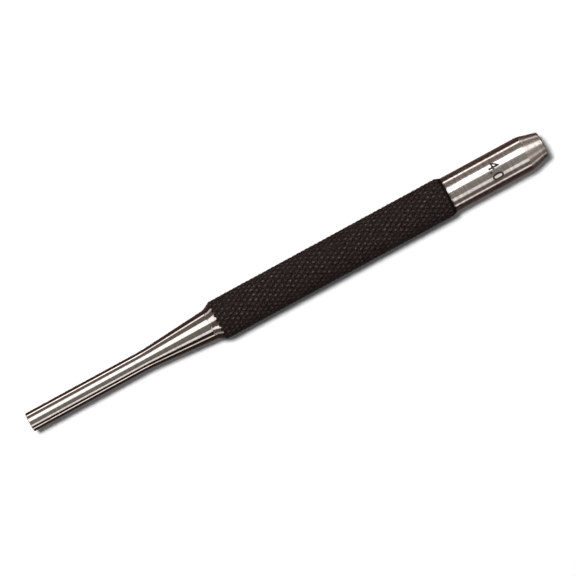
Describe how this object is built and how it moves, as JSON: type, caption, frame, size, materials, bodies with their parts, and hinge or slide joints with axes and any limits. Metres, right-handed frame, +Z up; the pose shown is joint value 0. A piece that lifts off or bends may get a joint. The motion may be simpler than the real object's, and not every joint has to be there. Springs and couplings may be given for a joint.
{
  "type": "pin punch",
  "caption": "Slim steel pin punch: straight round pin flaring into a black diamond-knurled grip, with a plain bright head and tapered striking end, for driving out roll and dowel pins.",
  "frame": {"origin": "middle of the tip's flat face, on the punch's axis", "axes": "+X along the punch from the tip to the striking face, +Z up, the punch lying on its grip"},
  "size_m": [0.1143, 0.0082, 0.0082],
  "materials": {
    "hard_steel": "hardened, ground and polished bright",
    "black_steel": "satin black oxide over a diamond knurl, with the front chamfer turned bright",
    "turned_steel": "turned bright, with fine marks round the head"
  },
  "bodies": {
    "root": {"drive_pin": "hard_steel", "grip_sleeve": "black_steel", "striking_head": "turned_steel"}
  },
  "joints": []
}
